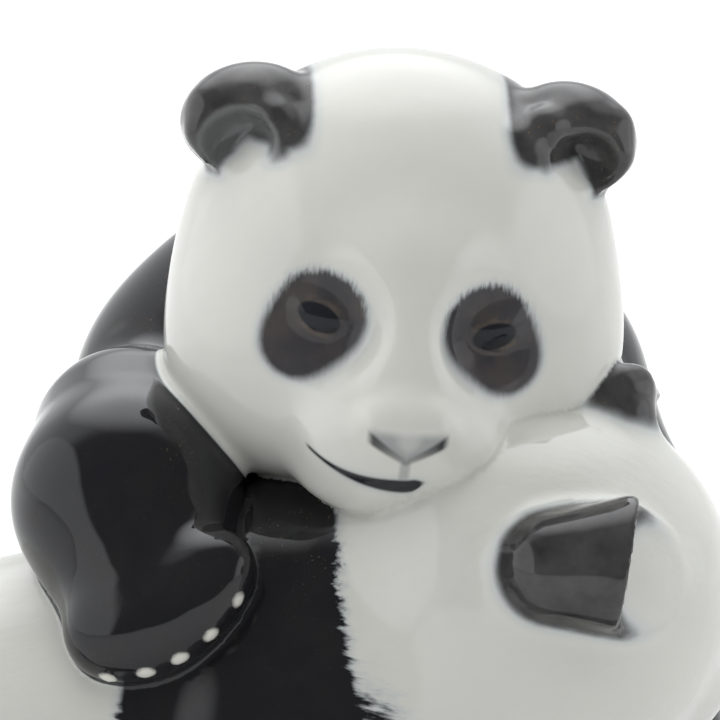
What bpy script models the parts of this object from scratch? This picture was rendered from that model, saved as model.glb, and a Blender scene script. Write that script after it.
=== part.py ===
# Porcelain group of two giant pandas: a grown one sits behind and hugs a young one that lies on its belly.
# The group is one moulded piece. It faces -Y, the young one's head is at +X, and it stands on z = 0.

import bpy
import bmesh
import numpy as np
from math import radians
from mathutils import Matrix, Vector

for leftover in list(bpy.data.objects):
    bpy.data.objects.remove(leftover, do_unlink=True)

# Driving sizes in metres
figure_height = 0.1545          # table to the top of the hugging panda's head
facet_budget = 9400             # triangles of the finished solid

# The sculpture is laid out on a grid of 1/154.5 of the height, so one step is a millimetre here
step = figure_height / 154.5
skin_shape = {
    "voxel": 2.3,               # first skin over the rough masses, in steps
    "slack": 1.2,               # how much the rough masses are swollen for that skin
}

collection = bpy.data.collections.new("panda_figurine")
cutters = bpy.data.collections.new("cutters")
bpy.context.scene.collection.children.link(collection)
bpy.context.scene.collection.children.link(cutters)
rough = bmesh.new()


def turned(yaw=0.0, pitch=0.0, roll=0.0):
    """Rotation of a head or an ear: yaw about Z, then pitch about X, then roll about Y."""
    turn = Matrix.Rotation(radians(yaw), 3, "Z") @ Matrix.Rotation(radians(pitch), 3, "X")
    return turn @ Matrix.Rotation(radians(roll), 3, "Y")


class Frame:
    """Where a head sits: its own +X is the panda's left, -Y its nose and +Z its crown."""

    def __init__(self, centre=(0, 0, 0), turn=Matrix.Identity(3), scale=1.0):
        self.centre = Vector(centre)
        self.turn = turn
        self.scale = scale

    def point(self, at):
        return self.centre + self.turn @ (Vector(at) * self.scale)


world = Frame()


def union(first, second, blend):
    """Soft union of two distances, with a fillet of about this size."""
    near = np.maximum(blend - np.abs(first - second), 0) / blend
    return np.minimum(first, second) - near * near * blend * 0.25


def carve(first, second, blend):
    return -union(-first, second, blend)


def hollow(at, radii, frame=world, turn=Matrix.Identity(3)):
    """Distance to an ellipsoid. By itself it is a scoop, which adds no rough mass."""
    centre = np.array(frame.point(at))
    turn = np.array(frame.turn @ turn)
    radii = np.array(radii, float) * frame.scale

    def distance(points):
        own = (points - centre) @ turn
        share = np.linalg.norm(own / radii, axis=1)
        slope = np.linalg.norm(own / radii ** 2, axis=1)
        return share * (share - 1) / np.maximum(slope, 1e-9)
    return distance


def ball(at, radii, frame=world, turn=Matrix.Identity(3)):
    """Ellipsoid as a rough mass, and its distance function."""
    swollen = [radius * frame.scale + skin_shape["slack"] for radius in radii]
    place = Matrix.Translation(frame.point(at)) @ (frame.turn @ turn).to_4x4()
    place = place @ Matrix.Diagonal((*swollen, 1))
    bmesh.ops.create_icosphere(rough, subdivisions=3, radius=1.0, matrix=place)
    return hollow(at, radii, frame, turn)


def limb(start, end, radius, end_radius, frame=world):
    """Tapered round bar between two points: the hull of the balls at its ends."""
    start, end = frame.point(start), frame.point(end)
    radius, end_radius = radius * frame.scale, end_radius * frame.scale
    bar = bmesh.new()
    for centre, size in ((start, radius), (end, end_radius)):
        place = Matrix.Translation(centre)
        bmesh.ops.create_icosphere(bar, subdivisions=2, radius=size + skin_shape["slack"], matrix=place)
    bmesh.ops.delete(bar, geom=bar.edges[:], context="EDGES_FACES")
    bmesh.ops.convex_hull(bar, input=bar.verts[:])
    loose = [vert for vert in bar.verts if not vert.link_faces]
    bmesh.ops.delete(bar, geom=loose, context="VERTS")
    hull = bpy.data.meshes.new("hull")
    bar.to_mesh(hull)
    bar.free()
    rough.from_mesh(hull)
    bpy.data.meshes.remove(hull)
    along = np.array(end - start)
    start = np.array(start)
    length = along @ along
    lean = (radius - end_radius) / length ** 0.5
    lean /= ((1 - lean * lean) * length) ** 0.5

    def distance(points):
        share = (points - start) @ along / length
        aside = np.linalg.norm(points - start - share[:, None] * along, axis=1)
        share = np.clip(share - aside * lean, 0, 1)
        off = np.linalg.norm(points - start - share[:, None] * along, axis=1)
        return off - radius - (end_radius - radius) * share
    return distance


def blended(masses):
    """One distance from a list of (distance, blend, carved), in the order of modelling."""
    def distance(points):
        whole = masses[0][0](points)
        for mass, blend, carved in masses[1:]:
            join = carve if carved else union
            whole = join(whole, mass(points), blend)
        return whole
    return distance


def sides(pair):
    """Both sides of a panda, left first."""
    return [tuple([side * pair[0], *pair[1:]]) for side in (1, -1)]


def toes(first, last, sag, radius, blend, count=5):
    """Row of toe balls from one side of a paw to the other, bowed by sag."""
    row = []
    for index in range(count):
        share = index / (count - 1)
        centre = Vector(first).lerp(Vector(last), share) + Vector(sag) * 4 * share * (1 - share)
        row.append((ball(centre, (radius, radius, radius)), blend, False))
    return row


def rims(route, radius, frame):
    """Rounded lip along a route on an ear."""
    pairs = zip(route[:-1], route[1:])
    return [(limb(start, end, radius, radius, frame), 2.6, False) for start, end in pairs]


def head(frame, bow, skull, cheeks, ears):
    """Skull and two hooded ears, and the face, which hangs by the angle bow below the skull's front."""
    face = Frame(frame.centre, frame.turn @ turned(pitch=bow), frame.scale)
    masses = [(ball((0, 2, 3), skull, frame), 0, False)]
    masses += [(ball(at, radii, face), 12, False) for at, radii in cheeks]
    masses.append((ball((0, -22, -16), (17.5, 18.5, 13), face), 10, False))
    masses.append((limb((0, -24, 8), (0, -33.5, -12), 9, 7, face), 8, False))
    masses += [(ball(at, (9, 8.5, 7.5), face), 5, False) for at in sides((6.5, -33, -18))]
    masses.append((ball((-2.5, -26, -24), (13, 11, 7.6), face), 5, False))
    masses += [(hollow(at, (8, 6, 7.5), face), 5, True) for at in sides((14, -34.4, 1))]
    masses += [(ball(at, (5, 3.8, 3.5), face), 2, False) for at in sides((14, -25.9, 0.8))]
    masses.append((ball((0, -40.8, -12.9), (6.8, 3.4, 4.0), face), 4, False))
    for ear in ears:
        side = 1 if ear["at"][0] > 0 else -1
        curl = turned(roll=12 * side, pitch=15)
        lobe = [(ball(ear["at"], ear["radii"], frame, curl), 0, False)]
        if "barrel" in ear:
            lobe.append((limb(*ear["barrel"], frame), 0.5, False))
        lobe += rims(ear["ridge"], 2.7, frame) + rims(ear["edge"], 2.3, frame)
        lobe.append((hollow(ear["cup"], ear["cup_radii"], frame, curl), 1.6, True))
        masses.append((blended(lobe), 2.5, False))
    return masses


# The hugging panda, sitting behind. Its head rests on the young one's shoulders.
hugging_head = Frame((5.8, 0, 115), turned(yaw=4, roll=5))
hugging_cheeks = [((19.5, -5.2, -11), (16.5, 18.5, 17)), ((-18.8, -7, -12.2), (17, 19.5, 17.8))]
hugging_ears = [
    {"at": (26.2, -2.8, 27.4), "radii": (11.2, 9.3, 9.2),
     "cup": (28.4, -13.2, 24.8), "cup_radii": (5.8, 6.2, 5.2),
     "ridge": ((26.0, -7.0, 31.5), (20.8, -10.5, 30.5), (17.0, -12.8, 27.6), (18.8, -13.8, 25.0)),
     "edge": ((33.0, -5.5, 30.6), (33.0, -7.5, 26.0), (31.0, -9.5, 23.0))},
    {"at": (-26.3, -2.8, 27.0), "radii": (11.6, 9.3, 9.2),
     "cup": (-29.0, -13.2, 24.2), "cup_radii": (6.2, 6.2, 5.8),
     "ridge": ((-26.5, -7.0, 31.3), (-23.2, -11.2, 28.6), (-20.8, -13.4, 24.0)),
     "edge": ((-33.8, -5.5, 29.4), (-33.8, -7.3, 25.2), (-32.0, -9.6, 22.2))},
]
hugging = [
    (ball((-0.5, 30, 88.5), (45.3, 30, 37.6)), 0, False),
    (ball((-2, 48, 42), (46, 36, 45)), 20, False),
    (ball((-41, 23, 30), (19, 14, 32)), 8, False),
    (ball((32, 22, 28), (18, 14, 30)), 8, False),
    (ball((28, 26, 86), (21, 20, 24)), 10, False),
    (limb((42, 18, 70), (52, 12, 20), 15, 12), 12, False),
    (ball((56, 5, 10), (13, 15, 12)), 8, False),
]
hugging += toes((49, -5, 7.5), (63, -4, 7.5), (0, -3, 0), 4.6, 3)
for side in (1, -1):
    hugging.append((ball((38 * side, 52, 22), (18, 24, 24)), 8, False))
    hugging.append((ball((52 * side, 47, 9), (15, 13, 12)), 8, False))
    hugging += toes((45 * side, 38, 8), (60 * side, 40, 8), (0, -3, 0), 4.6, 3)
hugging.append((ball((-2, 83, 20), (9, 9, 8)), 5, False))
hugging += [
    (blended([
        (ball((-29, 22, 88), (19, 20, 20)), 0, False),
        (limb((-38, -2, 88), (-37.9, -17.5, 83), 16.5, 18.5), 6, False),
        (limb((-37.9, -17.5, 83), (-33.6, -29, 71), 18.5, 15), 3, False),
        *toes((-21.6, -38.8, 78.8), (-41.4, -38.4, 66), (1.2, -2.5, -2.4), 4.6, 8),
    ]), 9, False),
]
hugging.append((blended(head(hugging_head, 0, (36.5, 33, 36), hugging_cheeks, hugging_ears)), 3, False))

# The young panda, on its belly with its forelegs stretched out under its chin.
across = Vector((0.149, 0.949, 0.276)).normalized()
crown = Vector((0.292, -0.336, 0.895))
crown = (crown - across * crown.dot(across)).normalized()
young_turn = Matrix((across, crown.cross(across), crown)).transposed()
young_head = Frame((32, -16.6, 64), young_turn, 0.92)
young_cheeks = [(at, (18, 20, 18)) for at in sides((20.5, -6, -11))]
young_ears = [
    {"at": (18.5, 3.0, 31.5), "radii": (10.8, 8.5, 10.5),
     "cup": (20.0, -6.5, 30.5), "cup_radii": (6.2, 7.0, 6.0),
     "ridge": ((12.0, 8.5, 35.5), (15.5, 6.5, 38.0), (19.0, 3.5, 39.5), (21.5, 0.5, 39.0)),
     "edge": ((21.5, 0.5, 39.0), (25.0, -2.2, 34.5), (25.0, -3.0, 28.0))},
    {"at": (-28.2, 5.5, 27.2), "radii": (9.2, 9.2, 9.2),
     "cup": (-25.3, -17.3, 33.3), "cup_radii": (15, 15, 15),
     "barrel": ((-28.2, 5.5, 27.2), (-26.1, -6.1, 31.2), 9.2, 11.8),
     "ridge": (),
     "edge": ()},
]
young = [
    (ball((-10, -14, 48), (34, 34, 38)), 0, False),
    (ball((-45, -10, 35), (40, 35, 37)), 16, False),
    (ball((-72, -6, 29), (32, 33, 33)), 14, False),
    (ball((12, -18, 54), (26, 27, 29)), 14, False),
    (ball((19.5, -25.5, 77.5), (20, 20.5, 20)), 10, False),
]
for side, y in ((-1, -38), (1, 12)):
    young.append((ball((-8, y, 34), (22, 14, 30)), 9, False))
    young.append((limb((-4, y + 6 * side, 13), (44, y + 2 * side, 13), 15, 12), 10, False))
    paw = y - 2 * side
    young.append((ball((57, paw, 10.5), (15, 12, 12)), 6, False))
    young += toes((65.5, paw - 6.5, 7.5), (65.5, paw + 6.5, 7.5), (3.5, 0, 0), 4.8, 3)
for side, y in ((-1, -34), (1, 20)):
    young.append((ball((-72, y, 22), (25, 14, 25)), 8, False))
    young.append((ball((-56, y + 9 * side, 8.5), (20, 11, 11)), 8, False))
    young += toes((-41, y + 4.5 * side, 7.5), (-41, y + 13.5 * side, 7.5), (3, 0, 0), 4.4, 3)
young.append((ball((-98.5, -4, 23), (9, 11, 9)), 7, False))
young_head_masses = head(young_head, 30, (36.5, 33, 33.6), young_cheeks, young_ears)
young.append((young_head_masses[0][0], 12, False))
young += young_head_masses[1:]

whole = blended([(blended(hugging), 0, False), (blended(young), 1.3, False)])


def skinned(mesh, size):
    """The mesh that a Remesh modifier makes of these crossing faces."""
    source = bpy.data.objects.new("rough", mesh)
    bpy.context.scene.collection.objects.link(source)
    skin = source.modifiers.new("skin", "REMESH")
    skin.mode = "VOXEL"
    skin.voxel_size = size
    skin.use_smooth_shade = True
    graph = bpy.context.evaluated_depsgraph_get()
    made = bpy.data.meshes.new_from_object(source.evaluated_get(graph))
    bpy.data.objects.remove(source)
    bpy.data.meshes.remove(mesh)
    return made


def settle(points, distance, reach, rounds=1):
    """Moves points along the slope of the distance until they lie on the surface."""
    probe = 0.25
    for _ in range(rounds):
        slope = np.empty_like(points)
        for axis in range(3):
            offset = np.zeros(3)
            offset[axis] = probe
            slope[:, axis] = distance(points + offset) - distance(points - offset)
        slope /= 2 * probe
        length = np.maximum(np.linalg.norm(slope, axis=1), 0.3)
        move = np.clip(distance(points) / length, -reach, reach)
        points = points - slope / length[:, None] * move[:, None]
    return points


def relax(points, edges, share):
    """Slides each point towards the middle of its neighbours."""
    middle = np.zeros_like(points)
    count = np.zeros(len(points))
    for one, other in ((0, 1), (1, 0)):
        np.add.at(middle, edges[:, one], points[edges[:, other]])
        np.add.at(count, edges[:, one], 1)
    return points + (middle / count[:, None] - points) * share


# Rough masses under one skin, which is then settled onto the soft union
rough_mesh = bpy.data.meshes.new("rough")
rough.to_mesh(rough_mesh)
rough.free()
figure_mesh = skinned(rough_mesh, skin_shape["voxel"])
points = np.empty(len(figure_mesh.vertices) * 3, np.float32)
figure_mesh.vertices.foreach_get("co", points)
points = points.reshape(-1, 3).astype(float)
edges = np.empty(len(figure_mesh.edges) * 2, np.int32)
figure_mesh.edges.foreach_get("vertices", edges)
edges = edges.reshape(-1, 2)
for _ in range(6):
    points = settle(points, whole, 1.5)
    points = relax(points, edges, 0.35)
points = settle(points, whole, 1.0, 2)

# The foot is ground flat at z = 0, and the origin is the middle of the footprint's box
middle = (points.min(axis=0) + points.max(axis=0)) / 2
points[:, :2] -= middle[:2]
figure_mesh.vertices.foreach_set("co", (points * step).astype(np.float32).ravel())
figure_mesh.update()

glaze = bpy.data.materials.new("white glaze")
glaze.use_nodes = True
shader = glaze.node_tree.nodes["Principled BSDF"]
shader.inputs["Base Color"].default_value = (0.66, 0.67, 0.63, 1)
shader.inputs["Roughness"].default_value = 0.12
shader.inputs["Metallic"].default_value = 0.0
figure_mesh.name = "panda_group"
figure_mesh.materials.clear()
figure_mesh.materials.append(glaze)
figure_mesh.shade_smooth()
figure = bpy.data.objects.new("panda_group", figure_mesh)
collection.objects.link(figure)

ground_mesh = bpy.data.meshes.new("ground")
block = bmesh.new()
size = Matrix.Diagonal((figure_height * 3, figure_height * 3, figure_height / 4, 1))
bmesh.ops.create_cube(block, size=1.0, matrix=Matrix.Translation((0, 0, -figure_height / 8)) @ size)
block.to_mesh(ground_mesh)
block.free()
ground = bpy.data.objects.new("ground", ground_mesh)
ground.hide_render = True
ground.display_type = "WIRE"
cutters.objects.link(ground)

figure_mesh.calc_loop_triangles()
facets = figure.modifiers.new("facets", "DECIMATE")
facets.ratio = facet_budget / len(figure_mesh.loop_triangles)
grind = figure.modifiers.new("grind", "BOOLEAN")
grind.operation = "DIFFERENCE"
grind.solver = "EXACT"
grind.object = ground
print("panda_group centred on", np.round(middle, 3), "from", len(figure_mesh.loop_triangles), "triangles")
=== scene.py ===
import math
import bpy
import numpy as np
import openvdb
from mathutils import Matrix, Vector


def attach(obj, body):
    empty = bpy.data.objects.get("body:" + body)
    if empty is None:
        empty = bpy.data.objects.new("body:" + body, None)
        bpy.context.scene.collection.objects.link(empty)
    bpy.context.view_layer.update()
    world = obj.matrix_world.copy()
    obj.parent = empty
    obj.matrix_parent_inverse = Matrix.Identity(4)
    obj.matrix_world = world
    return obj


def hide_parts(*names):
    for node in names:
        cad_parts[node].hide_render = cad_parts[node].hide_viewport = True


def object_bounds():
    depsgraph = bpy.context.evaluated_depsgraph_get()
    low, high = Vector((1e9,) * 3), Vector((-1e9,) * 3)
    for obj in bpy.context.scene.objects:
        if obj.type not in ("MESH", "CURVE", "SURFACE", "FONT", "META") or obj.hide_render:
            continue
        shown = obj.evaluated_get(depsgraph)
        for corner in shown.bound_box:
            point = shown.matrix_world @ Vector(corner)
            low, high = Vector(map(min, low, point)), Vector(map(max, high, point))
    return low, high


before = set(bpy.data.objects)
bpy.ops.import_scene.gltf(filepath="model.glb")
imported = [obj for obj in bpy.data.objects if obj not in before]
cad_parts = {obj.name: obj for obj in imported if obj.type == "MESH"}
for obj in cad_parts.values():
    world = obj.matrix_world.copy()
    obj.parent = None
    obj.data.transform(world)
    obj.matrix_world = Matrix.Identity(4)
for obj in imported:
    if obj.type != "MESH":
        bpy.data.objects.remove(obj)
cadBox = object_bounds()
print("frame loaded, box", [[round(value, 4) for value in corner] for corner in cadBox])

# The group is modelled in millimetres on its own grid and set down on the CAD box at the end
skinPlan = {
    "cell": 0.95,           # finest spacing of the clay grid
    "coarse": 3.8,          # first, quick pass
    "band": 1.35,           # the fine pass looks this many coarse cells to each side of the skin
    "triangles": 188000,
    "low": (-114.0, -66.0, -2.0),
    "high": (82.0, 98.0, 158.0),
    "seam": 1.3,            # fillet where the two pandas touch
    "flat": 0.25,           # points lower than this go down to the table
}


def turned(yaw=0.0, pitch=0.0, roll=0.0):
    turn = Matrix.Rotation(math.radians(yaw), 3, "Z") @ Matrix.Rotation(math.radians(pitch), 3, "X")
    return turn @ Matrix.Rotation(math.radians(roll), 3, "Y")


class Place:
    # own axes of a head: +X its left, -Y its nose, +Z its crown
    def __init__(self, centre=(0, 0, 0), turn=Matrix.Identity(3), scale=1.0):
        self.centre = np.array(centre, float)
        self.turn = np.array(turn, float)
        self.scale = scale

    def out(self, at):
        return self.centre + self.turn @ (np.array(at, float) * self.scale)

    def own(self, points):
        return (points - self.centre) @ self.turn / self.scale


ground = Place()


def softJoin(one, other, fillet):
    if fillet <= 0:
        return np.minimum(one, other)
    near = np.maximum(fillet - np.abs(one - other), 0) / fillet
    return np.minimum(one, other) - near * near * fillet * 0.25


class Clay:
    # a lump that grows by soft joins; far points are skipped
    def __init__(self, points):
        self.points = points
        self.value = np.full(len(points), 60.0)

    def press(self, centre, reach, distance, fillet, carve):
        far = reach + max(fillet, 12) + 12
        near = np.flatnonzero(((self.points - centre) ** 2).sum(axis=1) < far * far)
        if len(near) == 0:
            return self
        mine, added = self.value[near], distance(self.points[near])
        self.value[near] = -softJoin(-mine, added, fillet) if carve else softJoin(mine, added, fillet)
        return self

    def ball(self, at, radii, fillet=0.0, place=ground, turn=None, carve=False):
        centre = place.out(at)
        axes = place.turn @ np.array(turn) if turn is not None else place.turn
        radii = np.array(radii, float) * place.scale

        def distance(points):
            own = (points - centre) @ axes
            share = np.sqrt(((own / radii) ** 2).sum(axis=1))
            slope = np.sqrt(((own / radii ** 2) ** 2).sum(axis=1))
            return share * (share - 1) / np.maximum(slope, 1e-9)
        return self.press(centre, radii.max(), distance, fillet, carve)

    def limb(self, start, end, radius, endRadius, fillet=0.0, place=ground, carve=False):
        start, end = place.out(start), place.out(end)
        along = end - start
        length = along @ along
        radius, endRadius = radius * place.scale, endRadius * place.scale

        lean = (radius - endRadius) / math.sqrt(length)
        lean /= math.sqrt((1 - lean * lean) * length)

        def distance(points):
            share = (points - start) @ along / length
            aside = np.sqrt(((points - start - share[:, None] * along) ** 2).sum(axis=1))
            share = np.clip(share - aside * lean, 0, 1)
            off = points - start - share[:, None] * along
            return np.sqrt((off ** 2).sum(axis=1)) - radius - (endRadius - radius) * share
        reach = math.sqrt(length) / 2 + max(radius, endRadius)
        return self.press((start + end) / 2, reach, distance, fillet, carve)

    def line(self, route, radius, fillet, place=ground, carve=False):
        for start, end in zip(route[:-1], route[1:]):
            self.limb(start, end, radius, radius, fillet, place, carve)
        return self

    def merge(self, other, fillet):
        self.value = softJoin(self.value, other.value, fillet)
        return self


def bothSides(at):
    return [(side * at[0], at[1], at[2]) for side in (1, -1)]


# Toe rows: both ends, how far the row bows, toe size and fillet, and the way the claws point
paws = {
    "near": {"ends": ((-21.6, -38.8, 78.8), (-41.4, -38.4, 66.0)), "bow": (1.2, -2.5, -2.4), "size": 4.6,
             "fillet": 8, "claw": (0.2, -0.66, -0.72)},
    "far": {"ends": ((49, -5, 7.5), (63, -4, 7.5)), "bow": (0, -3, 0), "size": 4.6,
            "fillet": 3, "claw": (0.1, -0.9, -0.42)},
    "leg 1": {"ends": ((45, 38, 8), (60, 40, 8)), "bow": (0, -3, 0), "size": 4.6,
              "fillet": 3, "claw": (0.1, -0.9, -0.42)},
    "leg -1": {"ends": ((-45, 38, 8), (-60, 40, 8)), "bow": (0, -3, 0), "size": 4.6,
               "fillet": 3, "claw": (-0.1, -0.9, -0.42)},
    "fore -1": {"ends": ((65.5, -42.5, 7.5), (65.5, -29.5, 7.5)), "bow": (3.5, 0, 0), "size": 4.8,
                "fillet": 3, "claw": (0.9, 0, -0.42)},
    "fore 1": {"ends": ((65.5, 3.5, 7.5), (65.5, 16.5, 7.5)), "bow": (3.5, 0, 0), "size": 4.8,
               "fillet": 3, "claw": (0.9, 0, -0.42)},
    "hind -1": {"ends": ((-41, -38.5, 7.5), (-41, -47.5, 7.5)), "bow": (3, 0, 0), "size": 4.4,
                "fillet": 3, "claw": (0.9, 0, -0.42)},
    "hind 1": {"ends": ((-41, 24.5, 7.5), (-41, 33.5, 7.5)), "bow": (3, 0, 0), "size": 4.4,
               "fillet": 3, "claw": (0.9, 0, -0.42)},
}
clawShape = {"root": 2.1, "tip": 1.5, "start": 0.4, "end": 1.5, "fillet": 0.8}


def toeCentres(paw):
    first, last, bow = Vector(paw["ends"][0]), Vector(paw["ends"][1]), Vector(paw["bow"])
    return [first.lerp(last, step / 4) + bow * step * (4 - step) / 4 for step in range(5)]


def addToes(clay, paw):
    for centre in toeCentres(paw):
        clay.ball(centre, [paw["size"]] * 3, paw["fillet"])


def clawClay(points, names):
    claws = Clay(points)
    for name in names:
        paw = paws[name]
        way = Vector(paw["claw"]).normalized()
        for centre in toeCentres(paw):
            start = centre + way * paw["size"] * clawShape["start"]
            end = centre + way * (paw["size"] + clawShape["end"])
            claws.limb(start, end, clawShape["root"], clawShape["tip"])
    return claws


across = Vector((0.149, 0.949, 0.276)).normalized()
crown = Vector((0.292, -0.336, 0.895))
crown = (crown - across * crown.dot(across)).normalized()
hugger = {
    "head": Place((5.8, 0, 115), turned(yaw=4, roll=5)),
    "skull": (36.5, 33, 36),
    "bow": 0.0,
    "cheeks": [((19.5, -5.2, -11), (16.5, 18.5, 17)), ((-18.8, -7, -12.2), (17, 19.5, 17.8))],
    "ears": [
        {"at": (26.2, -2.8, 27.4), "radii": (11.2, 9.3, 9.2),
         "cup": (28.4, -13.2, 24.8), "cupRadii": (5.8, 6.2, 5.2), "cupFillet": 2.0,
         "ridge": ((26.0, -7.0, 31.5), (20.8, -10.5, 30.5), (17.0, -12.8, 27.6), (18.8, -13.8, 25.0)),
         "edge": ((33.0, -5.5, 30.6), (33.0, -7.5, 26.0), (31.0, -9.5, 23.0))},
        {"at": (-26.3, -2.8, 27.0), "radii": (11.6, 9.3, 9.2),
         "cup": (-29.0, -13.2, 24.2), "cupRadii": (6.2, 6.2, 5.8), "cupFillet": 2.0,
         "ridge": ((-26.5, -7.0, 31.3), (-23.2, -11.2, 28.6), (-20.8, -13.4, 24.0)),
         "edge": ((-33.8, -5.5, 29.4), (-33.8, -7.3, 25.2), (-32.0, -9.6, 22.2))},
    ],
}
cub = {
    "head": Place((32, -16.6, 64), Matrix((across, crown.cross(across), crown)).transposed(), 0.92),
    "skull": (36.5, 33, 33.6),
    "bow": 30.0,            # how far the face hangs towards the forelegs
    "cheeks": [((20.5, -6, -11), (18, 20, 18)), ((-20.5, -6, -11), (18, 20, 18))],
    "nape": {"at": (19.5, -25.5, 77.5), "radii": (20, 20.5, 20)},
    "ears": [
        {"at": (17.8, 2.5, 30.2), "radii": (10.4, 8.5, 10.2),
         "cup": (19.3, -7.0, 29.2), "cupRadii": (6.2, 7.0, 6.0), "cupFillet": 2.0,
         "ridge": ((11.3, 8.0, 34.0), (14.8, 6.0, 36.5), (18.3, 3.0, 38.0), (20.8, 0.0, 37.5)),
         "edge": ((20.8, 0.0, 37.5), (24.3, -2.6, 33.2), (24.0, -0.6, 25.5))},
        {"at": (-28.2, 5.5, 27.2), "radii": (9.2, 9.2, 9.2),
         "cup": (-25.3, -17.3, 33.3), "cupRadii": (15, 15, 15), "cupFillet": 3.0,
         "barrel": ((-28.2, 5.5, 27.2), (-25.8, -8.0, 31.7), 9.2, 12.2), "ridge": (), "edge": ()},
    ],
}
for bear in (hugger, cub):
    head = bear["head"]
    bear["face"] = Place(head.centre, Matrix(head.turn.tolist()) @ turned(pitch=bear["bow"]), head.scale)
earShape = {"ridge": 2.7, "edge": 2.3, "fillet": 2.6, "roll": 12, "pitch": 15}


def earCurl(ear):
    return turned(roll=math.copysign(earShape["roll"], ear["at"][0]), pitch=earShape["pitch"])


def headClay(points, panda):
    head = Clay(points).ball((0, 2, 3), panda["skull"], 0, panda["head"])
    place = panda["face"]
    for at, radii in panda["cheeks"]:
        head.ball(at, radii, 12, place)
    head.ball((0, -22, -16), (17.5, 18.5, 13), 10, place)          # muzzle
    head.limb((0, -24, 8), (0, -33.5, -12), 9, 7, 8, place)        # bridge of the nose
    for at in bothSides((6.5, -33, -18)):
        head.ball(at, (9, 8.5, 7.5), 5, place)                     # upper lips
    head.ball((-2.5, -26, -24), (13, 11, 7.6), 5, place)           # chin
    for at in bothSides((14, -34.4, 1)):
        head.ball(at, (8, 6, 7.5), 5, place, carve=True)           # eye hollows
    for side in (1, -1):
        slant = turned(roll=-20 * side)
        head.ball((14 * side, -25.9, 0.8), (5, 3.8, 3.5), 2, place, slant)       # eyes
    head.ball((0, -40.8, -12.9), (6.8, 3.4, 4.0), 4, place)        # nose
    return head


def earClay(points, panda):
    place = panda["head"]
    both = Clay(points)
    for ear in panda["ears"]:
        curl = earCurl(ear)
        one = Clay(points).ball(ear["at"], ear["radii"], 0, place, curl)
        if "barrel" in ear:
            one.limb(*ear["barrel"], 0, place)
        one.line(ear["ridge"], earShape["ridge"], earShape["fillet"], place)
        one.line(ear["edge"], earShape["edge"], earShape["fillet"], place)
        one.ball(ear["cup"], ear["cupRadii"], ear["cupFillet"], place, curl, carve=True)
        both.merge(one, 0)
    return both


def huggerClay(points):
    body = Clay(points).ball((-0.5, 30, 88.5), (45.3, 30, 37.6))
    body.ball((-2, 48, 42), (46, 36, 45), 20)
    body.ball((-41, 23, 30), (19, 14, 32), 8)                      # belly folds against the cub
    body.ball((32, 22, 28), (18, 14, 30), 8)
    far = Clay(points).ball((28, 26, 86), (21, 20, 24))
    far.limb((42, 18, 70), (52, 12, 20), 15, 12, 12)
    far.ball((56, 5, 10), (13, 15, 12), 8)
    addToes(far, paws["far"])
    legs = Clay(points)
    for side in (1, -1):
        leg = Clay(points).ball((38 * side, 52, 22), (18, 24, 24))
        leg.ball((52 * side, 47, 9), (15, 13, 12), 8)
        addToes(leg, paws["leg %d" % side])
        legs.merge(leg, 0)
    tail = Clay(points).ball((-2, 83, 20), (9, 9, 8))
    near = Clay(points).ball((-29, 22, 88), (19, 20, 20))
    near.limb((-38, -2, 88), (-37.9, -17.5, 83), 16.5, 18.5, 6)
    near.limb((-37.9, -17.5, 83), (-33.6, -29, 71), 18.5, 15, 3)
    addToes(near, paws["near"])
    return {"body": body, "far": far, "legs": legs, "tail": tail, "near": near,
            "head": headClay(points, hugger), "ears": earClay(points, hugger),
            "claws": clawClay(points, ("near", "far", "leg 1", "leg -1"))}


def cubClay(points):
    body = Clay(points).ball((-10, -14, 48), (34, 34, 38))
    body.ball((-45, -10, 35), (40, 35, 37), 16)
    body.ball((-72, -6, 29), (32, 33, 33), 14)
    body.ball((12, -18, 54), (26, 27, 29), 14)
    body.ball(cub["nape"]["at"], cub["nape"]["radii"], 10)         # nape, under the other one's chin
    fore, hind = Clay(points), Clay(points)
    for side, y in ((-1, -38), (1, 12)):
        leg = Clay(points).ball((-8, y, 34), (22, 14, 30))
        leg.limb((-4, y + 6 * side, 13), (44, y + 2 * side, 13), 15, 12, 10)
        leg.ball((57, y - 2 * side, 10.5), (15, 12, 12), 6)
        addToes(leg, paws["fore %d" % side])
        fore.merge(leg, 0)
    for side, y in ((-1, -34), (1, 20)):
        leg = Clay(points).ball((-72, y, 22), (25, 14, 25))
        leg.ball((-56, y + 9 * side, 8.5), (20, 11, 11), 8)
        addToes(leg, paws["hind %d" % side])
        hind.merge(leg, 0)
    tail = Clay(points).ball((-98.5, -4, 23), (9, 11, 9))
    return {"body": body, "fore": fore, "hind": hind, "tail": tail,
            "head": headClay(points, cub), "ears": earClay(points, cub),
            "claws": clawClay(points, ("fore 1", "fore -1", "hind 1", "hind -1"))}


def joined(points, order):
    whole = Clay(points)
    for clay, fillet in order:
        whole.merge(clay, fillet)
    return whole


def bothPandas(points):
    big, small = huggerClay(points), cubClay(points)
    bigHead = joined(points, ((big["head"], 0), (big["ears"], 2.5)))
    adult = joined(points, ((big["body"], 0), (big["far"], 10), (big["legs"], 8), (big["tail"], 5),
                            (big["near"], 9), (bigHead, 3), (big["claws"], clawShape["fillet"])))
    young = joined(points, ((small["body"], 0), (small["fore"], 9), (small["hind"], 8), (small["tail"], 7),
                            (small["head"], 12), (small["ears"], 5), (small["claws"], clawShape["fillet"])))
    return big, small, adult, young


def wholeValue(points):
    adult, young = bothPandas(points)[2:]
    return np.maximum(softJoin(adult.value, young.value, skinPlan["seam"]), -points[:, 2])


def inPieces(function, points, size=250000):
    return np.concatenate([function(points[start:start + size]) for start in range(0, len(points), size)])


def slopeOf(points, probe=0.2):
    corners = np.array([(1, -1, -1), (-1, -1, 1), (-1, 1, -1), (1, 1, 1)], float)
    slope = sum(inPieces(wholeValue, points + probe * corner)[:, None] * corner for corner in corners)
    return slope / (4 * probe)


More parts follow.
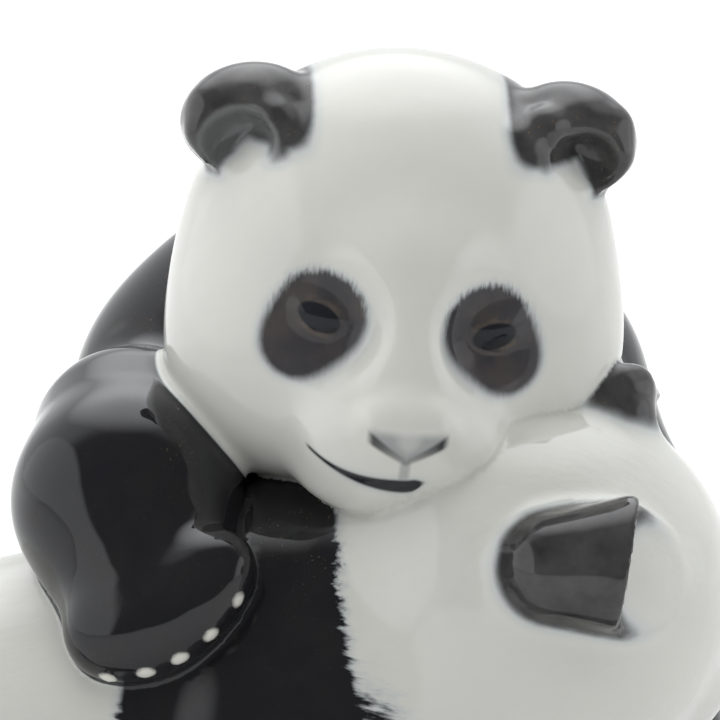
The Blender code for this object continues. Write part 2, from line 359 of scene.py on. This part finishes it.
def settled(points, reach):
    slope = slopeOf(points)
    length = np.maximum(np.linalg.norm(slope, axis=1), 0.4)
    move = np.clip(inPieces(wholeValue, points) / length, -reach, reach)
    return points - slope / length[:, None] * move[:, None]


def skinMesh(plan):
    low, high = np.array(plan["low"]), np.array(plan["high"])
    ratio = round(plan["coarse"] / plan["cell"])
    count = np.ceil((high - low) / plan["coarse"]).astype(int) + 1
    axes = [low[axis] + plan["coarse"] * np.arange(count[axis]) for axis in range(3)]
    coarse = np.stack(np.meshgrid(*axes, indexing="ij"), -1).reshape(-1, 3)
    coarse = inPieces(wholeValue, coarse).reshape(count)
    fineCount = (count - 1) * ratio + 1
    nearest = [np.minimum((np.arange(fineCount[axis]) + ratio // 2) // ratio, count[axis] - 1)
               for axis in range(3)]
    fine = coarse[np.ix_(*nearest)].astype(np.float32)
    band = np.abs(fine) < plan["coarse"] * plan["band"]
    fine[band] = inPieces(wholeValue, low + np.argwhere(band) * plan["cell"])
    limit = 3 * plan["cell"]
    grid = openvdb.FloatGrid(limit)
    grid.copyFromArray(np.clip(fine, -limit, limit))
    points, quads = grid.convertToQuads(0.0)
    print("clay grid of", fineCount.tolist(), "gave", len(quads), "faces")
    points = settled(points.astype(float) * plan["cell"] + low, plan["cell"])
    mesh = bpy.data.meshes.new("panda clay")
    mesh.from_pydata(points.tolist(), [], quads.tolist())
    clay = bpy.data.objects.new("panda clay", mesh)
    bpy.context.scene.collection.objects.link(clay)
    thin = clay.modifiers.new("thin", "DECIMATE")
    thin.ratio = min(1.0, plan["triangles"] / (2 * len(quads)))
    graph = bpy.context.evaluated_depsgraph_get()
    made = bpy.data.meshes.new_from_object(clay.evaluated_get(graph))
    bpy.data.objects.remove(clay)
    return made


def readPoints(mesh):
    points = np.empty(len(mesh.vertices) * 3, np.float32)
    mesh.vertices.foreach_get("co", points)
    return points.reshape(-1, 3).astype(float)


def fade(value, low, high):
    share = np.clip((value - low) / (high - low), 0, 1)
    return share * share * (3 - 2 * share)


# Where the painter's colours lie; every border is kept in millimetres, black side positive
paint = {
    "shoulder": 71.0,       # the hugging panda is black above this height
    "bandBack": -39.1,      # the cub's black band, at its back edge and its neck edge
    "bandNeck": -3.6,
    "overlap": 0.6,         # black glaze that runs over the seam
    "jawLine": 1.6,         # pale line left round the head
    "patch": {"top": (13.4, 1.0, 7.3), "lobe": (17.6, -4.2, 5.2), "join": 5.0},
    "tongues": [((25.6, -13.5, 19.6), (4.6, 8, 5.2)), ((-26.8, -13, 18.6), (4.8, 8, 5.2))],
}


def earInk(points, panda, ears):
    own = panda["head"].own(points)
    ink = 1.1 - ears
    if panda is hugger:
        # the black runs on over the brow between the ear and the crown
        inner = np.where(own[:, 0] < 0, -own[:, 0] - 16.8, own[:, 0] - 14.8)
        brow = softJoin(inner, 0.8 * (own[:, 2] - 25.0), 5)
        ink = np.maximum(ink, np.minimum(brow, 4.8 - ears))
        tongues = Clay(points)         # and leaves a white tongue under the cup
        for at, radii in paint["tongues"]:
            tongues.ball(at, radii, 0, panda["head"])
        ink = np.minimum(ink, tongues.value)
    return ink


def paintMaps(points):
    big, small, adult, young = bothPandas(points)
    x, y, z = points.T
    value = {name: clay.value for name, clay in big.items()}
    trunk = z - paint["shoulder"] + 0.12 * (y - 30) + 1.2 * np.sin(x * 0.21) * np.cos(y * 0.13)
    arms = np.minimum(value["near"], value["far"])
    ink = np.maximum(trunk, (value["body"] - arms) * 0.8 + 1.5)
    ink = np.maximum(ink, (value["body"] - value["legs"]) * 0.8 + 0.8)
    ink = np.minimum(ink, (value["head"] - paint["jawLine"]) * 2.5)
    ink = np.minimum(ink, value["tail"] + 2.4)
    bigInk = np.maximum(ink, earInk(points, hugger, value["ears"]))
    bigHair = fade(value["ears"], 5, 9) * fade(value["head"], 5, 9)
    value = {name: clay.value for name, clay in small.items()}
    neck = paint["bandNeck"] + 0.0058 * np.clip(84 - z, 0, 40) ** 2 - x
    back = x - paint["bandBack"] - 0.16 * (z - 54)
    ink = np.minimum(neck, back)
    ink = np.maximum(ink, (value["body"] - value["fore"]) * 0.8 + 2.0)
    ink = np.maximum(ink, (value["body"] - value["hind"]) * 0.8 + 0.8)
    ink = np.minimum(ink, (value["head"] - 1.2) * 2.5)
    smallInk = np.maximum(ink, earInk(points, cub, value["ears"]))
    smallHair = fade(value["ears"], 2, 5) * fade(value["head"], 0.6, 2.5)
    lead = young.value - adult.value
    ink = np.maximum(np.minimum(bigInk, np.minimum(lead, lead * 3) + paint["overlap"]),
                     np.minimum(smallInk, paint["overlap"] - np.maximum(lead, lead * 3)))
    hair = np.where(lead > 0, bigHair, smallHair) * fade(np.abs(lead), 1.5, 5)
    # face maps: whichever head is nearer lends its own axes
    bigNear = big["head"].value < small["head"].value
    own = np.where(bigNear[:, None], hugger["face"].own(points), cub["face"].own(points))
    onHead = np.where(bigNear, big["head"].value, small["head"].value) < 1.5
    onFace = onHead & (own[:, 1] < np.where(bigNear, -12, -24))
    top, lobe, join = paint["patch"]["top"], paint["patch"]["lobe"], paint["patch"]["join"]
    side, height = np.abs(own[:, 0] + 0.8), own[:, 2] + 0.014 * own[:, 0]
    flat = [np.hypot(side - aside, height - up) - radius for aside, up, radius in (top, lobe)]
    patch = np.where(onFace, -softJoin(flat[0], flat[1], join), -20.0)
    claws = np.minimum(big["claws"].value, small["claws"].value)
    fur = np.where(lead > 0, 0.35, 1.0) * fade(np.abs(lead), 0.5, 4)
    nearEar = np.minimum(big["ears"].value, small["ears"].value)
    fur *= fade(nearEar, 0.5, 3)
    ear = hugger["ears"][1]
    # painted light: the cup of this ear is painted a lighter grey, standing in for light its shaded hollow
    # does not catch
    paintedCupLight = Clay(points).ball(ear["cup"], ear["cupRadii"], 0, hugger["head"], earCurl(ear))
    return {
        "ink": np.clip(ink, -8, 8),
        "hair": hair,
        "patch": np.clip(patch, -8, 8),
        "claws": np.clip(claws, -2, 4),
        "foot": fade(z, 0.5, 0.1),
        "fur": fur,
        "ear": fade(nearEar, 3.5, 0.5),
        "paintedCupLight": fade(np.abs(paintedCupLight.value), 1.6, 0.4),
        # painted shade: a darker brownish line along the crease where the two pandas touch
        "seam": fade(np.abs(lead), 1.0, 0.1),
        "dust": fade(big["head"].value, 16, 5),
        "onFace": np.where(onFace, 1.0, 0.0),
        "face": own,
    }


print("modelling both pandas")
pandaMesh = skinMesh(skinPlan)
spots = settled(readPoints(pandaMesh), 0.6)
spots[spots[:, 2] < skinPlan["flat"], 2] = 0.0
slopes = slopeOf(spots)
slopes /= np.maximum(np.linalg.norm(slopes, axis=1, keepdims=True), 1e-6)
maps = paintMaps(spots)
cadLow, cadHigh = np.array(cadBox[0]), np.array(cadBox[1])
middle = (spots.min(axis=0) + spots.max(axis=0)) / 2
shift = (cadLow + cadHigh) / 2 - middle * 0.001
shift[2] = cadLow[2]
pandaMesh.vertices.foreach_set("co", (spots * 0.001 + shift).astype(np.float32).ravel())
pandaMesh.name = "panda_glaze"
pandaMesh.shade_smooth()
pandaMesh.update()
pandaMesh.normals_split_custom_set_from_vertices(slopes.tolist())
for name, values in maps.items():
    wide = values.ndim == 2
    kept = pandaMesh.attributes.new(name, "FLOAT_VECTOR" if wide else "FLOAT", "POINT")
    kept.data.foreach_set("vector" if wide else "value", values.astype(np.float32).ravel())
panda = bpy.data.objects.new("panda_glaze", pandaMesh)
bpy.context.scene.collection.objects.link(panda)
print("skin of", len(pandaMesh.polygons), "triangles, shift", [round(value * 1000, 2) for value in shift])


class Wire:
    # one output of a shader node, with arithmetic
    def __init__(self, board, socket):
        self.board = board
        self.socket = socket

    def maths(self, kind, *values):
        return self.board.node("ShaderNodeMath", {"operation": kind}, dict(enumerate(values)))

    def __add__(self, other):
        return self.maths("ADD", self, other)

    def __radd__(self, other):
        return self.maths("ADD", other, self)

    def __sub__(self, other):
        return self.maths("SUBTRACT", self, other)

    def __rsub__(self, other):
        return self.maths("SUBTRACT", other, self)

    def __mul__(self, other):
        return self.maths("MULTIPLY", self, other)

    def __rmul__(self, other):
        return self.maths("MULTIPLY", other, self)

    def __truediv__(self, other):
        return self.maths("DIVIDE", self, other)

    def __rtruediv__(self, other):
        return self.maths("DIVIDE", other, self)

    def __abs__(self):
        return self.maths("ABSOLUTE", self)

    def root(self):
        return self.maths("SQRT", self)

    def most(self, other):
        return self.maths("MAXIMUM", self, other)


class Board:
    # a node tree with its shader, written as maths
    def __init__(self, owner, shader):
        owner.use_nodes = True
        self.owner = owner
        self.tree = owner.node_tree
        self.shader = self.tree.nodes[shader]

    def node(self, kind, settings=None, sockets=None, out=0):
        made = self.tree.nodes.new(kind)
        for name, value in (settings or {}).items():
            setattr(made, name, value)
        for name, value in (sockets or {}).items():
            if isinstance(value, Wire):
                self.tree.links.new(value.socket, made.inputs[name])
            else:
                made.inputs[name].default_value = value
        return Wire(self, made.outputs[out])

    def map(self, name, out="Fac"):
        return self.node("ShaderNodeAttribute", {"attribute_name": name}, out=out)

    def split(self, vector, axes="XYZ"):
        return [self.node("ShaderNodeSeparateXYZ", {}, {"Vector": vector}, axis) for axis in axes]

    def ease(self, value, low, high):
        # 0 at low and 1 at high, with a smooth step between them
        start, end = (0.0, 1.0) if low < high else (1.0, 0.0)
        sockets = {"Value": value, "From Min": min(low, high), "From Max": max(low, high),
                   "To Min": start, "To Max": end}
        return self.node("ShaderNodeMapRange", {"interpolation_type": "SMOOTHSTEP"}, sockets)

    def mix(self, share, one, other):
        return self.node("ShaderNodeMix", {"data_type": "RGBA"}, {0: share, 6: one, 7: other}, out=2)

    def grain(self, vector, size, turn=(0, 0, 0), detail=2.0, rough=0.5):
        # noise whose lumps measure about this size along the turned axes, centred on 0
        sized = self.node("ShaderNodeMapping", {"vector_type": "TEXTURE"},
                          {"Vector": vector, "Rotation": turn, "Scale": size})
        sockets = {"Vector": sized, "Scale": 1.0, "Detail": detail, "Roughness": rough}
        return self.node("ShaderNodeTexNoise", {}, sockets) - 0.5

    def feed(self, socket, value):
        if isinstance(value, Wire):
            self.tree.links.new(value.socket, self.shader.inputs[socket])
        else:
            self.shader.inputs[socket].default_value = value


glaze = {
    "white": (0.640, 0.640, 0.596, 1),
    "cream": (0.672, 0.670, 0.620, 1),
    "black": (0.0130, 0.0132, 0.0158, 1),
    "iron": (0.020, 0.018, 0.017, 1),
    "halo": (0.40, 0.46, 0.50, 1),
    "patch": (0.052, 0.051, 0.056, 1),
    "patchIron": (0.076, 0.068, 0.066, 1),
    # lighter brownish grey on the ears: partly the glaze's own tone, partly painted reflection of the light
    # from above
    "earGreyAndSheen": (0.072, 0.069, 0.068, 1),
    # painted light: lighter grey for the shaded ear cup
    "paintedCupLight": (0.125, 0.128, 0.128, 1),
    "speck": (0.150, 0.110, 0.060, 1),
    # painted shade for the crease where the two pandas touch
    "seam": (0.400, 0.380, 0.330, 1),
    "lid": (0.115, 0.095, 0.078, 1),
    "eye": (0.018, 0.019, 0.024, 1),
    "line": (0.012, 0.013, 0.017, 1),
    "nose": (0.21, 0.225, 0.235, 1),
    "claw": (0.70, 0.69, 0.63, 1),
    "bisque": (0.70, 0.68, 0.62, 1),
    "roughness": 0.5,
    "coatRoughness": 0.05,
    "coatIor": 1.46,
}
# Fine relief of the glaze: sizes in metres, heights as shares of the distance
relief = {
    "waveSize": (0.016, 0.016, 0.016), "waves": 0.9,
    "furSize": (0.0085, 0.0022, 0.0022), "furTurn": -0.42, "fur": 0.28,
    "pitSize": (0.0006, 0.0006, 0.0006), "pits": 0.008,
    "strength": 0.5, "distance": 0.0010,
}
# Brushed borders: size of one stroke or blot, and how far it moves the border in millimetres
brush = {
    "strokeSize": (0.0050, 0.0011, 0.0011), "strokeTurn": 0.25, "stroke": 4.2,
    "blotSize": (0.0030, 0.0030, 0.0030), "blot": 1.0, "blotEverywhere": 0.4,
    "lashSize": (0.55, 2.4, 2.6), "lash": 1.9, "lashEverywhere": 0.3,
}
# Lines of the face, in the head's own millimetres: across, up
lines = {
    "mouthLow": -23.1, "mouthBend": 0.0205, "mouthStart": -15.8, "mouthEnd": 3.4,
    "mouthThin": 0.15, "mouthThick": 1.15,
    "noseLow": -18.5, "noseSlope": 0.645, "noseTop": -13.0, "noseWide": 6.4,
    "eye": (14.2, 0.3), "eyeTilt": 0.40, "eyeLong": 4.1, "eyeTall": 2.5,
}


def paintFace(board, colour, face):
    x, z = board.split(face, "XZ")
    onFace = board.map("onFace")
    # mouth: a long smile on the right side, thickest below the nose
    right = x.most(0.0)
    middle = x * x * lines["mouthBend"] + lines["mouthLow"] + right * right * 0.06
    away = abs(z - middle)
    along = board.ease(x, lines["mouthStart"], 0.5)
    half = along * (lines["mouthThick"] - lines["mouthThin"]) + lines["mouthThin"]
    half = half * board.ease(x, lines["mouthEnd"] + 0.8, 1.6)
    mouth = board.ease(away - half, 0.45, -0.25)
    mouth = mouth * board.ease(x, lines["mouthStart"], lines["mouthStart"] + 1.0)
    mouth = mouth * board.ease(x, lines["mouthEnd"] + 0.6, lines["mouthEnd"] - 0.6)
    smear = board.ease(away - half, 1.5, -0.2) * board.ease(x, lines["mouthStart"] - 1.0, -8.0)
    smear = smear * board.ease(x, lines["mouthEnd"] + 1.6, lines["mouthEnd"] - 0.8)
    # nose: grey wash over the pad, with a dark V along its lower edge
    side = abs(x - 0.1)
    above = (z - side * lines["noseSlope"] - lines["noseLow"]) * 0.85
    apart = abs(above)
    reach = board.ease(side, lines["noseWide"] + 0.5, lines["noseWide"] - 1.0)
    vee = board.ease(apart - side * 0.07, 0.85, 0.0) * reach
    wash = board.ease(above, -0.9, 0.7) * reach
    wash = wash * board.ease(z, lines["noseTop"] + 0.7, lines["noseTop"] - 1.4)
    wash = wash * (1.0 - board.ease(above, 0.6, 2.6) * board.ease(side, 3.0, 0.5) * 0.45)
    gutter = board.ease(side, 1.25, 0.35) * board.ease(z, -22.6, -21.0) * board.ease(z, -17.0, -18.2)
    colour = board.mix(smear * onFace * 0.40, colour, glaze["halo"])
    colour = board.mix(wash.most(gutter * 0.75) * onFace * 0.75, colour, glaze["nose"])
    deep = vee * (board.ease(side, 0.5, 5.5) * 0.45 + 0.45)
    colour = board.mix(deep * onFace, colour, glaze["line"])
    return board.mix(mouth * onFace, colour, glaze["line"])


def paintEyes(board, colour, face, around):
    x, z = board.split(face, "XZ")
    side = abs(x + 0.3) - lines["eye"][0]
    up = z + x * 0.042 - lines["eye"][1]
    turn = lines["eyeTilt"]
    long = (side * math.cos(turn) + up * math.sin(turn)) / lines["eyeLong"]
    tall = (up * math.cos(turn) - side * math.sin(turn)) / lines["eyeTall"]
    ring = (long * long + tall * tall).root()
    uneven = board.grain(face, (1.4, 1.4, 1.4), detail=2.0)
    lid = board.ease(ring, 0.80, 1.02) * board.ease(ring, 1.34, 1.08)
    lid = lid * board.ease(uneven, -0.22, 0.10) * board.ease(long * long, 0.85, 0.25) * 0.8
    colour = board.mix(board.ease(ring, 0.98, 0.80) * around, colour, glaze["eye"])
    return board.mix(lid * around, colour, glaze["lid"])


def glazedPorcelain():
    material = bpy.data.materials.new("glazed porcelain")
    board = Board(material, "Principled BSDF")
    spot = board.node("ShaderNodeTexCoord", out="Object")
    face = board.map("face", out="Vector")
    ink, patch, claws, hair = board.map("ink"), board.map("patch"), board.map("claws"), board.map("hair")
    # hair strokes at the borders of the black
    strokes = board.grain(spot, brush["strokeSize"], (0, brush["strokeTurn"], 0), 3.0, 0.6)
    ragged = board.grain(spot, brush["blotSize"], detail=2.0)
    edge = ink + strokes * (hair * brush["stroke"])
    edge = edge + ragged * (hair * brush["blot"] + brush["blotEverywhere"])
    black = board.ease(edge, -0.55, 0.75)
    bleed = board.ease(edge, -1.9, 0.4)
    lashes = board.grain(face, brush["lashSize"], detail=3.0, rough=0.6)
    upward = board.ease(board.split(face, "Z")[0], -2.0, 6.0)
    patchEdge = patch + lashes * (upward * brush["lash"] + brush["lashEverywhere"])
    around = board.ease(patchEdge, -0.7, 0.9)
    patchBleed = board.ease(patchEdge, -1.6, 0.2)
    # the white body, faintly uneven
    cloud = board.grain(spot, (0.020, 0.020, 0.020), detail=3.0)
    colour = board.mix(board.ease(cloud, -0.25, 0.25), glaze["white"], glaze["cream"])
    colour = board.mix(bleed.most(patchBleed) * 0.55, colour, glaze["halo"])
    # painted shade: a darker brownish line along the crease where the two pandas meet
    colour = board.mix(board.map("seam") * 0.35, colour, glaze["seam"])
    colour = paintFace(board, colour, face)
    blot = board.grain(spot, (0.006, 0.006, 0.006), detail=3.0)
    brown = board.mix(board.ease(blot, -0.15, 0.20), glaze["patch"], glaze["patchIron"])
    colour = board.mix(around, colour, brown)
    colour = paintEyes(board, colour, face, around)
    specks = board.grain(spot, (0.0005, 0.0005, 0.0005), detail=1.0)
    dust = board.ease(specks, 0.17, 0.26) * board.ease(blot, -0.06, 0.10) * (board.map("dust") * 0.8 + 0.12)
    dark = board.mix(board.ease(blot, -0.2, 0.3) * 0.5, glaze["black"], glaze["iron"])
    # the ears get a mottled lighter brownish grey: partly the glaze's own tone, partly painted reflection
    # of the light from above
    dark = board.mix(board.map("ear") * board.ease(blot, -0.5, 0.3), dark, glaze["earGreyAndSheen"])
    # painted light: a lighter grey inside the shaded ear cup
    dark = board.mix(board.map("paintedCupLight"), dark, glaze["paintedCupLight"])
    dark = board.mix(dust, dark, glaze["speck"])
    colour = board.mix(black, colour, dark)
    colour = board.mix(board.ease(claws, 0.55, 0.10), colour, glaze["claw"])
    foot = board.map("foot")
    colour = board.mix(foot, colour, glaze["bisque"])
    board.feed("Base Color", colour)
    board.feed("Roughness", foot * 0.3 + glaze["roughness"])
    board.feed("Coat Weight", (1.0 - foot) * (1.0 - around * 0.45))
    board.feed("Coat Roughness", glaze["coatRoughness"])
    board.feed("Coat IOR", glaze["coatIor"])
    board.feed("Specular IOR Level", 0.0)
    # the glaze settles in slow waves over soft strokes of modelled fur
    waves = board.grain(spot, relief["waveSize"], detail=2.0)
    fur = board.grain(spot, relief["furSize"], (0, relief["furTurn"], 0), 2.0, 0.5)
    pits = board.grain(spot, relief["pitSize"], detail=1.0)
    height = waves * relief["waves"] + fur * board.map("fur") * relief["fur"] + pits * relief["pits"]
    bump = board.node("ShaderNodeBump", {}, {"Strength": relief["strength"], "Distance": relief["distance"],
                                             "Height": height})
    board.feed("Normal", bump)
    return material


pandaMesh.materials.clear()
pandaMesh.materials.append(glazedPorcelain())
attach(panda, "root")
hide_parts("panda_group")
print("glazed")

# Floor, light and camera
studio = {
    "floorSize": 9.0,
    "floorColour": (0.68, 0.68, 0.68, 1),
    "floorGlow": {"strength": 0.45, "front": 0.35},
    "aim": (0.0, 0.0, 0.075),
    "sky": {"dark": 0.12, "back": 1.0, "top": 2.8, "left": 1.35, "right": 1.5},
    "tint": (0.97, 0.985, 1.0, 1),
    "softboxes": [
        {"at": (-0.7, 0.1, 1.0), "size": (1.0, 1.0), "power": 2.7},
        {"at": (0.0, -0.3, 1.3), "size": (1.0, 1.0), "power": 4.0},
        {"at": (0.5, -1.1, 0.6), "size": (0.9, 0.9), "power": 2.2},
    ],
}


def makeFloor():
    half = studio["floorSize"] / 2
    mesh = bpy.data.meshes.new("floor")
    corners = [(-half, -half, 0), (half, -half, 0), (half, half * 2, 0), (-half, half * 2, 0)]
    mesh.from_pydata(corners, [], [(0, 1, 2, 3)])
    board = Board(bpy.data.materials.new("pale floor"), "Principled BSDF")
    glow = studio["floorGlow"]
    y = board.split(board.node("ShaderNodeTexCoord", out="Object"), "Y")[0]
    white = (1, 1, 1, 1)
    grey = (glow["front"], glow["front"], glow["front"], 1)
    board.feed("Emission Color", board.mix(board.ease(y, 0.0, 0.4), grey, white))
    board.feed("Emission Strength", glow["strength"])
    board.feed("Base Color", studio["floorColour"])
    board.feed("Roughness", 0.9)
    board.feed("Specular IOR Level", 0.0)
    mesh.materials.append(board.owner)
    floor = bpy.data.objects.new("floor", mesh)
    floor.location.z = cadLow[2] - 0.0002
    bpy.context.scene.collection.objects.link(floor)


def makeLights():
    # a white tent, open and dark at the front, with lamps that only fill
    world = bpy.data.worlds.new("studio")
    bpy.context.scene.world = world
    board = Board(world, "Background")
    x, y, z = board.split(board.node("ShaderNodeTexCoord", out="Generated"))
    sky = studio["sky"]
    light = board.ease(y, -0.10, 0.25) * (sky["back"] - sky["dark"]) + sky["dark"]
    light = light.most(board.ease(x, -0.66, -0.74) * sky["left"])
    light = light.most(board.ease(x, 0.80, 0.90) * sky["right"])
    light = light.most(board.ease(z * 0.8 + y * 0.6, 0.70, 0.98) * sky["top"])
    board.feed("Color", studio["tint"])
    board.feed("Strength", light)
    for number, box in enumerate(studio["softboxes"]):
        lamp = bpy.data.lights.new("softbox %d" % number, "AREA")
        lamp.shape = "RECTANGLE"
        lamp.size, lamp.size_y = box["size"]
        lamp.energy = box["power"]
        stand = bpy.data.objects.new(lamp.name, lamp)
        stand.visible_glossy = False
        stand.location = box["at"]
        aim = Vector(studio["aim"]) - Vector(box["at"])
        stand.rotation_euler = aim.to_track_quat("-Z", "Y").to_euler()
        bpy.context.scene.collection.objects.link(stand)


view = {
    "centre": (0.0, -3.2, 103.0),   # millimetres on the clay's grid
    "elevation": 15.0,
    "distance": 1.0,
    "width": 0.1188,                # what the frame spans at the centre
}


def makeCamera():
    camera = bpy.data.cameras.new("camera")
    camera.sensor_width = 36.0
    camera.lens = camera.sensor_width * view["distance"] / view["width"]
    camera.clip_end = 30.0
    eye = bpy.data.objects.new("camera", camera)
    tilt = math.radians(view["elevation"])
    away = Vector((0, -math.cos(tilt), math.sin(tilt)))
    centre = Vector(view["centre"]) * 0.001 + Vector(shift)
    eye.location = centre + away * view["distance"]
    eye.rotation_euler = (-away).to_track_quat("-Z", "Y").to_euler()
    bpy.context.scene.collection.objects.link(eye)
    bpy.context.scene.camera = eye


makeFloor()
makeLights()
makeCamera()
bpy.context.scene.view_settings.view_transform = "Standard"
print("studio ready")
